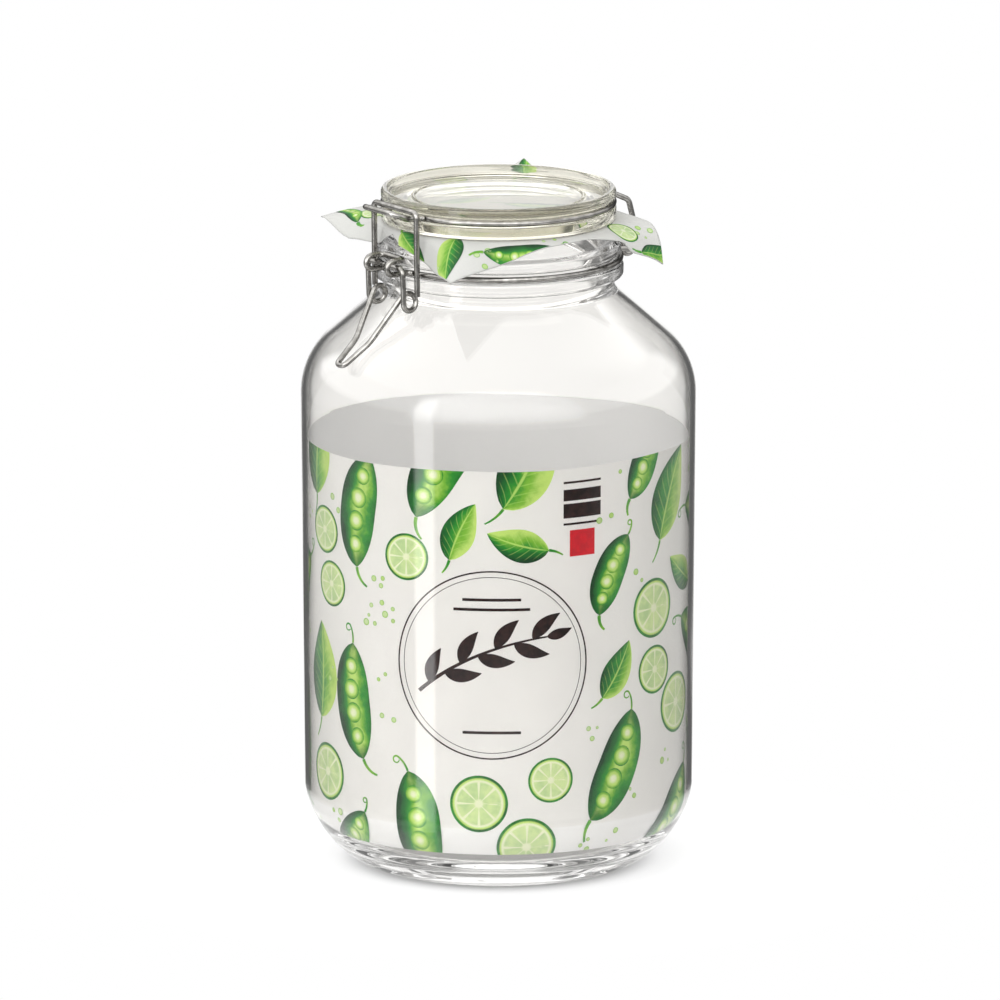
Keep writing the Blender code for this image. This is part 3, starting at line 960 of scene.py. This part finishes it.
def paper_square(material):
    """The square sheet under the lid: level inside the rim, and draped over it outside."""
    shape = bmesh.new()
    outline = square_edge(36)
    rings = []
    for share in (0.35, 0.6, 0.8, 0.92):
        ring = []
        for point in outline:
            flat = point.normalized() * CREASE_R * share
            ring.append(shape.verts.new(METRE * on_square(flat.x, flat.y, 0.0)))
        rings.append(ring)
    strips = 16
    for strip in range(strips + 1):
        ring = []
        for point in outline:
            reach = CREASE_R + (point.length - CREASE_R) * strip / strips
            flat = point.normalized() * reach
            ring.append(shape.verts.new(METRE * on_square(flat.x, flat.y, 0.0)))
        rings.append(ring)
    middle = shape.verts.new((0.0, 0.0, METRE * SQUARE_Z))
    count = len(outline)
    for step in range(count):
        after = (step + 1) % count
        shape.faces.new((middle, rings[0][step], rings[0][after]))
        for inner, outer in zip(rings, rings[1:]):
            shape.faces.new((inner[step], outer[step], outer[after], inner[after]))
    thing = show("square_paper", shape, material)
    skin = thing.modifiers.new("thickness", "SOLIDIFY")
    skin.thickness = METRE * PAPER
    skin.offset = 0.0
    return thing


# Print

INK_LIFT = 0.08
PEA_LIFT = 0.05
TIP = 0.05

# Places on the rolled sheet: how far along it from the side that faces the camera, and the height
BADGE = (-3.0, 108.0)
BADGE_R = 43.0
BADGE_ROOM_R = 46.5
TAG = (38.0, 172.0)
TAG_ROOM = (44.0, 22.0)

# The scattered motifs
DOT_RADII = (0.7, 1.7)
POD_CURLS = (-32.0, 32.0)
LEAF_CURLS = (-20.0, 20.0)
HEADINGS = (15.0, 165.0)
MOST_TRIES = 2500
SLEEVE_SEED = 35
SQUARE_SEED = 5


class Print:
    """Flat coloured shapes, cut off at the paper's edges and laid on it, one mesh for each finish."""

    def __init__(self, lay, edges):
        self.lay = lay
        self.edges = edges
        self.shapes = {}

    def grid(self, finish, rows):
        """A sheet of points in rows, each point (x, y, across, along)."""
        points, faces = self.shapes.setdefault(finish, ([], []))
        first = len(points)
        width = len(rows[0])
        for row in rows:
            points += row
        for number in range(len(rows) - 1):
            for step in range(width - 1):
                low = first + number * width + step
                high = low + width
                faces.append((low, low + 1, high + 1, high))

    def strip(self, finish, spine, half_width, across_steps=8):
        """A shape along a spine: half_width gives its half width at each share of the length."""
        rows = []
        last = len(spine) - 1
        for number, point in enumerate(spine):
            ahead = spine[min(number + 1, last)] - spine[max(number - 1, 0)]
            ahead.normalize()
            side = Vector((-ahead.y, ahead.x))
            share = number / last
            row = []
            for step in range(across_steps + 1):
                across = 2.0 * step / across_steps - 1.0
                place = point + side * across * half_width(share)
                row.append((place.x, place.y, across, share))
            rows.append(row)
        self.grid(finish, rows)

    def disc(self, finish, centre, radius, steps, rings):
        """A round shape: across runs from its middle to its edge, along goes round it."""
        rows = []
        for ring in range(rings + 1):
            share = ring / rings
            row = []
            for step in range(steps + 1):
                angle = TURN * step / steps
                x = centre[0] + radius * share * math.cos(angle)
                y = centre[1] + radius * share * math.sin(angle)
                row.append((x, y, share, step / steps))
            rows.append(row)
        self.grid(finish, rows)

    def made(self, prefix, finishes, body, over):
        """The meshes, one for each finish that was used, a little over the places that lay gives."""
        for finish, (points, faces) in self.shapes.items():
            shape = bmesh.new()
            across = shape.verts.layers.float.new("across")
            along = shape.verts.layers.float.new("along")
            corners = []
            for point in points:
                corner = shape.verts.new((point[0], point[1], 0.0))
                corner[across] = point[2]
                corner[along] = point[3]
                corners.append(corner)
            for face in faces:
                shape.faces.new([corners[number] for number in face])
            bmesh.ops.remove_doubles(shape, verts=shape.verts, dist=100.0 * TOUCHING)
            for place, outward in self.edges:
                bmesh.ops.bisect_plane(
                    shape,
                    geom=shape.verts[:] + shape.edges[:] + shape.faces[:],
                    plane_co=place,
                    plane_no=outward,
                    clear_outer=True,
                )
            lift = over + INK_LIFT + (PEA_LIFT if finish == "pea" else 0.0)
            for corner in shape.verts:
                corner.co = METRE * self.lay(corner.co.x, corner.co.y, lift)
            thing = show(prefix + finish, shape, finishes[finish])
            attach(thing, body)


def curved(start, heading, length, turn, pieces):
    """A flat line that leaves start at a heading and turns evenly, angles in degrees."""
    points = [Vector(start)]
    for number in range(pieces):
        angle = math.radians(heading + turn * (number + 0.5) / pieces)
        points.append(points[-1] + Vector((math.cos(angle), math.sin(angle))) * length / pieces)
    return points


def leaf_width(share):
    """A leaf's outline: widest a little before its middle, and 1 there."""
    return math.sin(math.pi * share ** 0.8)


def leaf(sheet, centre, heading, length, width, curl=18.0):
    """A leaf with a short stalk."""
    angle = math.radians(heading)
    start = Vector(centre) - 0.5 * length * Vector((math.cos(angle), math.sin(angle)))
    spine = curved(start, heading - 0.5 * curl, length, curl, 22)

    def half_width(share):
        return 0.5 * width * leaf_width(share) ** 0.85 + TIP

    sheet.strip("leaf", spine, half_width)
    stalk = curved(start, heading + 180.0 - 0.5 * curl, 0.24 * length, -30.0, 8)
    sheet.strip("stroke", stalk, lambda share: 0.7 * (1.0 - 0.5 * share), 2)


def pod(sheet, centre, heading, length, width, curl=46.0):
    """A pea pod, open along its middle so that its peas show, with a stalk and a tendril."""
    angle = math.radians(heading)
    start = Vector(centre) - 0.5 * length * Vector((math.cos(angle), math.sin(angle)))
    spine = curved(start, heading - 0.5 * curl, length, curl, 30)

    def half_width(share):
        return 0.5 * width * max(0.0, 1.0 - abs(2.0 * share - 1.0) ** 2.6) ** 0.75 + TIP

    sheet.strip("pod", spine, half_width, 10)
    peas = 4
    for number in range(peas):
        share = 0.21 + 0.58 * number / (peas - 1)
        middle = spine[round(share * (len(spine) - 1))]
        radius = 0.225 * width * (1.0 - 0.5 * abs(2.0 * share - 1.0) ** 2)
        sheet.disc("pea", middle, radius, 20, 4)
    stalk = curved(start, heading + 180.0 - 0.5 * curl, 0.2 * length, 60.0, 10)
    sheet.strip("stroke", stalk, lambda share: 0.9 - 0.4 * share, 2)
    tendril(sheet, spine[-1], heading + 0.5 * curl, 0.3 * length)


def tendril(sheet, start, heading, length):
    """A thin line that ends in a curl."""
    points = curved(start, heading, 0.5 * length, 40.0, 10)
    points += curved(points[-1], heading + 40.0, 0.5 * length, 300.0, 16)[1:]
    sheet.strip("stroke", points, lambda share: 0.55 - 0.3 * share, 2)


def citrus_slice(sheet, centre, radius):
    sheet.disc("slice", centre, radius, 48, 8)


def scatter_dots(sheet, centre, count, spread, draw):
    """A few small dots round a place, clear of each other."""
    first = draw.uniform(0.0, TURN)
    for number in range(count):
        angle = first + TURN * number / count
        reach = spread * math.sqrt(draw.uniform(0.3, 1.0))
        spot = (centre[0] + reach * math.cos(angle), centre[1] + reach * math.sin(angle))
        sheet.disc("dot", spot, draw.uniform(*DOT_RADII), 14, 2)


def ring_line(sheet, centre, radius, width):
    """A thin whole ring."""
    count = 120
    points = []
    for number in range(count + 1):
        angle = TURN * number / count
        points.append(Vector(centre) + radius * Vector((math.cos(angle), math.sin(angle))))
    sheet.strip("ink", points, lambda share: 0.5 * width, 2)


def bar(sheet, finish, centre, width, height):
    """A level bar or block."""
    left = Vector((centre[0] - 0.5 * width, centre[1]))
    right = Vector((centre[0] + 0.5 * width, centre[1]))
    points = [left.lerp(right, number / 8.0) for number in range(9)]
    sheet.strip(finish, points, lambda share: 0.5 * height, 2)


def badge(sheet):
    """A plain roundel: a double ring round a sprig, with two bars over it and one under it."""
    ring_line(sheet, BADGE, BADGE_R, 0.7)
    ring_line(sheet, BADGE, BADGE_R - 2.6, 0.3)
    middle = Vector(BADGE)
    stem = curved(middle + Vector((-33.0, -13.0)), 42.0, 64.0, -36.0, 30)
    sheet.strip("ink", stem, lambda share: 0.9 - 0.5 * share, 2)
    for number in range(3, 29, 4):
        side = 1.0 if number % 8 == 3 else -1.0
        lean = 42.0 - 36.0 * number / 30.0
        twig = curved(stem[number], lean + side * 50.0, 17.0, -side * 34.0, 14)
        sheet.strip("ink", twig, lambda share: 3.0 * leaf_width(share) + 3.0 * TIP, 4)
    tip = curved(stem[-1], 6.0, 12.0, 20.0, 12)
    sheet.strip("ink", tip, lambda share: 2.3 * leaf_width(share) + 2.0 * TIP, 4)
    for height, width in ((30.0, 26.0), (25.5, 34.0), (-31.0, 26.0)):
        bar(sheet, "ink", middle + Vector((0.0, height)), width, 1.3)


def tag(sheet):
    """A small plain tag: dark bars over a red block."""
    for above, height in ((18.4, 1.0), (12.6, 5.2), (5.4, 6.6), (-0.6, 1.0)):
        bar(sheet, "ink", (TAG[0], TAG[1] + above), 18.0, height)
    bar(sheet, "red", (TAG[0], TAG[1] - 9.5), 12.0, 12.0)


class Layout:
    """Keeps the motifs of one sheet apart: each takes up a few circles."""

    def __init__(self, wrap):
        self.wrap = wrap
        self.circles = []

    def circles_of(self, spot, heading, length, width):
        """Circles in a row that cover a motif, each (x, y, radius)."""
        count = max(1, round(length / width))
        turn = math.radians(heading)
        circles = []
        for number in range(count):
            shift = (number - 0.5 * (count - 1)) * (length - width) / max(1, count - 1)
            x = spot[0] + shift * math.cos(turn)
            y = spot[1] + shift * math.sin(turn)
            circles.append((x, y, 0.5 * width))
        return circles

    def room(self, circles, gap):
        """Whether these circles stay clear of all that are taken, also round the sheet's seam."""
        for x, y, radius in circles:
            for other_x, other_y, other_radius in self.circles:
                run = (x - other_x + 0.5 * self.wrap) % self.wrap - 0.5 * self.wrap
                if math.hypot(run, y - other_y) < radius + other_radius + gap:
                    return False
        return True

    def take(self, spot, heading, length, width, gap):
        """Takes up a motif's place if there is room for it, and says whether there was."""
        circles = self.circles_of(spot, heading, length, width)
        if not self.room(circles, gap):
            return False
        self.circles += circles
        return True


def sleeve_print(finishes):
    """Garden motifs scattered round the sleeve, clear of each other, the badge and the tag."""
    foot = ((0.0, SLEEVE_FOOT_Z, 0.0), (0.0, -1.0, 0.0))
    top = ((0.0, SLEEVE_TOP_Z, 0.0), (0.0, 1.0, 0.0))
    sheet = Print(on_sleeve, (foot, top))
    draw = random.Random(SLEEVE_SEED)
    wrap = TURN * (HEEL_TOP_R - WALL)
    layout = Layout(wrap)
    layout.circles.append((*BADGE, BADGE_ROOM_R))
    layout.take(TAG, 90.0, *TAG_ROOM, 0.0)
    # Kind, how many, length, width and the least gap round it
    motifs = (
        ("pod", 16, 64.0, 25.0, 2.0),
        ("slice", 16, 27.0, 27.0, 2.0),
        ("leaf", 14, 50.0, 24.0, 1.5),
        ("pod", 10, 46.0, 19.0, 1.5),
        ("slice", 12, 22.0, 22.0, 1.5),
        ("leaf", 24, 32.0, 15.0, 1.0),
        ("dots", 60, 8.0, 8.0, 0.5),
    )
    for kind, count, length, width, gap in motifs:
        tries = 0
        made = 0
        while made < count and tries < MOST_TRIES:
            tries += 1
            spot = (draw.uniform(-0.5, 0.5) * wrap, draw.uniform(SLEEVE_FOOT_Z, SLEEVE_TOP_Z + 4.0))
            heading = draw.uniform(*HEADINGS)
            if not layout.take(spot, heading, length, width, gap):
                continue
            made += 1
            if kind == "pod":
                pod(sheet, spot, heading, 0.84 * length, 0.86 * width, draw.choice(POD_CURLS))
            elif kind == "leaf":
                leaf(sheet, spot, heading, 0.9 * length, width, draw.choice(LEAF_CURLS))
            elif kind == "slice":
                citrus_slice(sheet, spot, 0.5 * width * draw.uniform(0.93, 1.03))
            else:
                scatter_dots(sheet, spot, draw.randint(2, 3), 3.6, draw)
    badge(sheet)
    tag(sheet)
    sheet.made("sleeve_", finishes, "root", 0.0)


def polar(angle, reach):
    """A place on the square sheet, angle from +X in degrees."""
    turn = math.radians(angle)
    return reach * math.cos(turn), reach * math.sin(turn)


def square_print(finishes):
    """The same motifs on the sheet under the lid, where its corners and its middle show."""
    outline = square_edge(1)
    edges = []
    for start, end in zip(outline, outline[1:] + outline[:1]):
        outward = Vector((end.y - start.y, start.x - end.x, 0.0)).normalized()
        edges.append((start.to_3d() - 0.3 * outward, outward))
    sheet = Print(on_square, edges)
    draw = random.Random(SQUARE_SEED)
    leaf(sheet, polar(-55.0, 64.0), -48.0, 30.0, 13.0)
    leaf(sheet, polar(-80.0, 57.0), -20.0, 22.0, 9.0)
    pod(sheet, polar(-24.0, 56.5), 66.0, 36.0, 11.0, 40.0)
    citrus_slice(sheet, polar(37.0, 59.0), 7.5)
    leaf(sheet, polar(42.0, 77.0), 100.0, 22.0, 10.0)
    citrus_slice(sheet, polar(-139.0, 57.0), 7.0)
    pod(sheet, polar(-141.0, 72.0), 170.0, 26.0, 8.0)
    leaf(sheet, polar(136.0, 70.0), 136.0, 28.0, 12.0)
    citrus_slice(sheet, polar(170.0, 54.0), 8.0)
    leaf(sheet, polar(100.0, 58.0), 10.0, 26.0, 11.0)
    pod(sheet, (14.0, 18.0), 40.0, 42.0, 14.0)
    leaf(sheet, (-22.0, -4.0), 100.0, 36.0, 15.0)
    citrus_slice(sheet, (18.0, -22.0), 9.0)
    for spot in (polar(-40.0, 62.0), polar(-8.0, 55.0), polar(45.0, 66.0), (-4.0, -34.0), (-6.0, 36.0)):
        scatter_dots(sheet, spot, 4, 5.0, draw)
    sheet.made("square_", finishes, "lid", 0.5 * PAPER)


# Studio

# Where one part of the backdrop gives way to the next, in degrees round from straight behind the jar:
# a white panel, a dark gap, and pale sides that run on to the front.
PANEL_END = (12.0, 8.0)
GAP_END = (32.0, 46.0)
FRONT_START = (95.0, 135.0)
PANEL_LEVEL = 0.95
GAP_LEVEL = 0.11
SIDES_LEVEL = 0.45

# Heights in the studio are sines of the angle over the horizon.
UPPER_RISE = (0.08, 0.16)
PANEL_TOP_LEVEL = 0.42
SIDES_TOP_LEVEL = 0.8
FLAG_LEVEL = 0.05
FLAG_UP = -0.215
FLAG_HALF = (0.048, 0.034)
CANOPY_FOOT = (0.48, 0.6)
CANOPY_LEVEL = 1.5
CANOPY_LEAN = 0.5
BACK_LEAN = 1.0
FRONT_LEVEL = 3.3
FRONT_LEAN = 0.95
FRONT_SPREAD = (0.5, 0.7)
FRONT_FOOT = (-0.2, 0.25)
FRONT_TOP = (0.85, 0.7)
LEFT_LEVEL = 1.5
LEFT_SPREAD = (0.5, 0.65)
LEFT_FOOT = (0.1, 0.2)
GROUND_TOP = (-0.36, -0.5)
STRIP_LEVEL = 2.2
STRIP_TURN = -135.5
STRIP_HALF = (7.6, 4.6)
STRIP_TOP = (0.56, 0.5)
STRIP_FOOT = (-0.75, -0.65)

# The floor that the jar stands on, in metres
FLOOR_DISC_R = 1.4
FLOOR_DROP = 0.0002
# Where the painted shadow right under the jar gives way to the floor's full glow
PAINTED_SHADOW_REACH = (0.054, 0.074)
FLOOR_FADE = (0.12, 0.2)
# How dark that painted shadow is
PAINTED_SHADOW_LEVEL = (0.24, 0.24, 0.24)
FLOOR_PALE = (0.35, 0.35, 0.35)
FLOOR_GLOW = 0.64
WHITE = (1.0, 1.0, 1.0)
LIGHT_BOUNCES = 24


def studio():
    """A bright backdrop and soft lights, with dark parts that draw the glass's edges."""
    world = bpy.data.worlds.new("studio")
    bpy.context.scene.world = world
    tree = Tree(world)
    direction = tree.node("TexCoord", None, output=0)

    def along(vector):
        return tree.node("VectorMath", {"operation": "DOT_PRODUCT"}, direction, vector)

    depth = along((-math.sin(AZIMUTH), math.cos(AZIMUTH), 0.0))
    side = along((math.cos(AZIMUTH), math.sin(AZIMUTH), 0.0))
    up = along((0.0, 0.0, 1.0))
    turn = side.maths("ARCTAN2", side, depth) * math.degrees(1.0)
    from_behind = turn.size()

    # The backdrop: each part has a brighter top
    upper = up.step(*UPPER_RISE)
    panel = from_behind.step(*PANEL_END)
    sides = from_behind.step(*GAP_END)
    level = GAP_LEVEL + (PANEL_LEVEL - GAP_LEVEL + PANEL_TOP_LEVEL * upper) * panel
    level = level + (SIDES_LEVEL - GAP_LEVEL + SIDES_TOP_LEVEL * upper) * sides

    # A dark band low in front, where the jar's wall mirrors it, so that the print shows clear
    flag = from_behind.step(*FRONT_START) * (up - FLAG_UP).size().step(*FLAG_HALF)
    level = level - (SIDES_LEVEL - FLAG_LEVEL) * flag

    # A canopy overhead, then the main light high in front and a smaller one at the left
    above = up.step(*CANOPY_FOOT)
    canopy = CANOPY_LEVEL - CANOPY_LEAN * side + BACK_LEAN * depth.most(0.0)
    level = level * (1.0 - above) + canopy * above
    front = (-depth).step(*FRONT_SPREAD) * up.step(*FRONT_FOOT) * up.step(*FRONT_TOP)
    level = level.most((FRONT_LEVEL - FRONT_LEAN * side) * front)
    level = level.most(LEFT_LEVEL * (-side).step(*LEFT_SPREAD) * up.step(*LEFT_FOOT))

    # A white ground, and the upright strip light that the wall shows as a highlight
    level = level.most(up.step(*GROUND_TOP))
    strip = (turn - STRIP_TURN).size().step(*STRIP_HALF)
    level = level + STRIP_LEVEL * strip * up.step(*STRIP_TOP) * up.step(*STRIP_FOOT)

    # Plain white where the camera looks past the jar
    seen = tree.node("LightPath", None)
    level = level * (1.0 - seen) + seen
    glow = tree.node("Background", None, WHITE, level)
    tree.node("OutputWorld", None, glow)


def floor():
    """A pale glowing floor with a painted shadow right under the jar, that fades into the backdrop."""
    shape = bmesh.new()
    bmesh.ops.create_circle(shape, cap_ends=True, segments=96, radius=FLOOR_DISC_R)
    material = bpy.data.materials.new("floor")
    tree = Tree(material)
    reach = tree.node("VectorMath", {"operation": "LENGTH"}, tree.place())
    # Painted shadow: the floor's glow is darker right under the jar
    under = tree.mix(reach.step(*PAINTED_SHADOW_REACH), PAINTED_SHADOW_LEVEL, WHITE)
    lit = tree.node("Emission", None, under, FLOOR_GLOW)
    pale = tree.node("BsdfDiffuse", None, FLOOR_PALE)
    solid = tree.node("AddShader", None, lit, pale)
    gone = tree.node("BsdfTransparent", None)
    shader = tree.node("MixShader", None, reach.step(*FLOOR_FADE), solid, gone)
    tree.node("OutputMaterial", None, shader)
    thing = show("floor", shape, material)
    thing.location = (0.0, 0.0, -FLOOR_DROP)


def light_paths():
    """Light may bounce often enough to leave the thick glass of the base and the lid."""
    cycles = bpy.context.scene.cycles
    cycles.max_bounces = LIGHT_BOUNCES
    cycles.glossy_bounces = LIGHT_BOUNCES
    cycles.transmission_bounces = LIGHT_BOUNCES


def camera():
    data = bpy.data.cameras.new("camera")
    thing = bpy.data.objects.new("camera", data)
    bpy.context.scene.collection.objects.link(thing)
    out = Vector((
        math.sin(AZIMUTH) * math.cos(ELEVATION),
        -math.cos(AZIMUTH) * math.cos(ELEVATION),
        math.sin(ELEVATION),
    ))
    right = Vector((math.cos(AZIMUTH), math.sin(AZIMUTH), 0.0))
    thing.location = Vector((0.0, 0.0, AIM_Z)) + right * AIM_SIDE + out * DISTANCE
    thing.rotation_euler = (-out).to_track_quat("-Z", "Y").to_euler()
    data.sensor_width = SENSOR
    data.lens = SENSOR * PIXELS_PER_MM * DISTANCE
    data.clip_end = 100.0
    bpy.context.scene.camera = thing


def stand_in(thing, node, body):
    """The finer piece rides on the CAD node's body and is shown in its place."""
    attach(thing, body)
    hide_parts(node)


def main():
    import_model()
    bpy.context.scene.view_settings.view_transform = "Standard"
    light_paths()
    jar_finish = clear_glass("jar_glass", JAR_TINT, JAR_RIPPLE)
    lid_finish = clear_glass("lid_glass", LID_TINT, LID_RIPPLE)
    steel = drawn_wire("drawn_wire")
    paper = white_paper("rolled_paper", SLEEVE_DULL, SLEEVE_BRIGHT, SLEEVE_INSIDE_PAINTED_LIGHT)
    # The square sheet's paper is greyed as painted shade, to offset the strong light over the lid
    sheet = white_paper("square_paper", SQUARE_SHADED_DULL, SQUARE_SHADED_BRIGHT)
    jar = turned("jar_body", softened(jar_outline(), JAR_SOFT), jar_finish)
    lid = turned("lid_disc", softened(lid_outline(), LID_SOFT), lid_finish)
    neck_ring = wire("neck_ring", neck_wire_route(), WIRE_R, True, steel)
    lid_ring = wire("lid_ring", lid_wire_route(), WIRE_R, False, steel)
    hasp = wire("hasp_wire", hasp_route(), WIRE_R, False, steel)
    lever = wire("lever_wire", lever_route(), LEVER_WIRE_R, False, steel)
    stand_in(jar, "jar_glass", "root")
    stand_in(lid, "lid_glass", "lid")
    stand_in(neck_ring, "neck_wire", "root")
    stand_in(lid_ring, "lid_wire", "lid")
    stand_in(hasp, "hasp", "hasp")
    stand_in(lever, "lever", "lever")
    stand_in(paper_sleeve(paper), "paper_sleeve", "root")
    stand_in(paper_square(sheet), "paper_square", "lid")
    sleeve_inks = {**GARDEN_INKS, **SIGN_INKS}
    sleeve_print({ink: printed(ink + "_print", colours) for ink, colours in sleeve_inks.items()})
    # The square's print is darkened as painted shade, like its sheet
    square_print({ink: printed("soft_" + ink, colours, SQUARE_INK_SHADE) for ink, colours in GARDEN_INKS.items()})
    studio()
    floor()
    camera()


main()
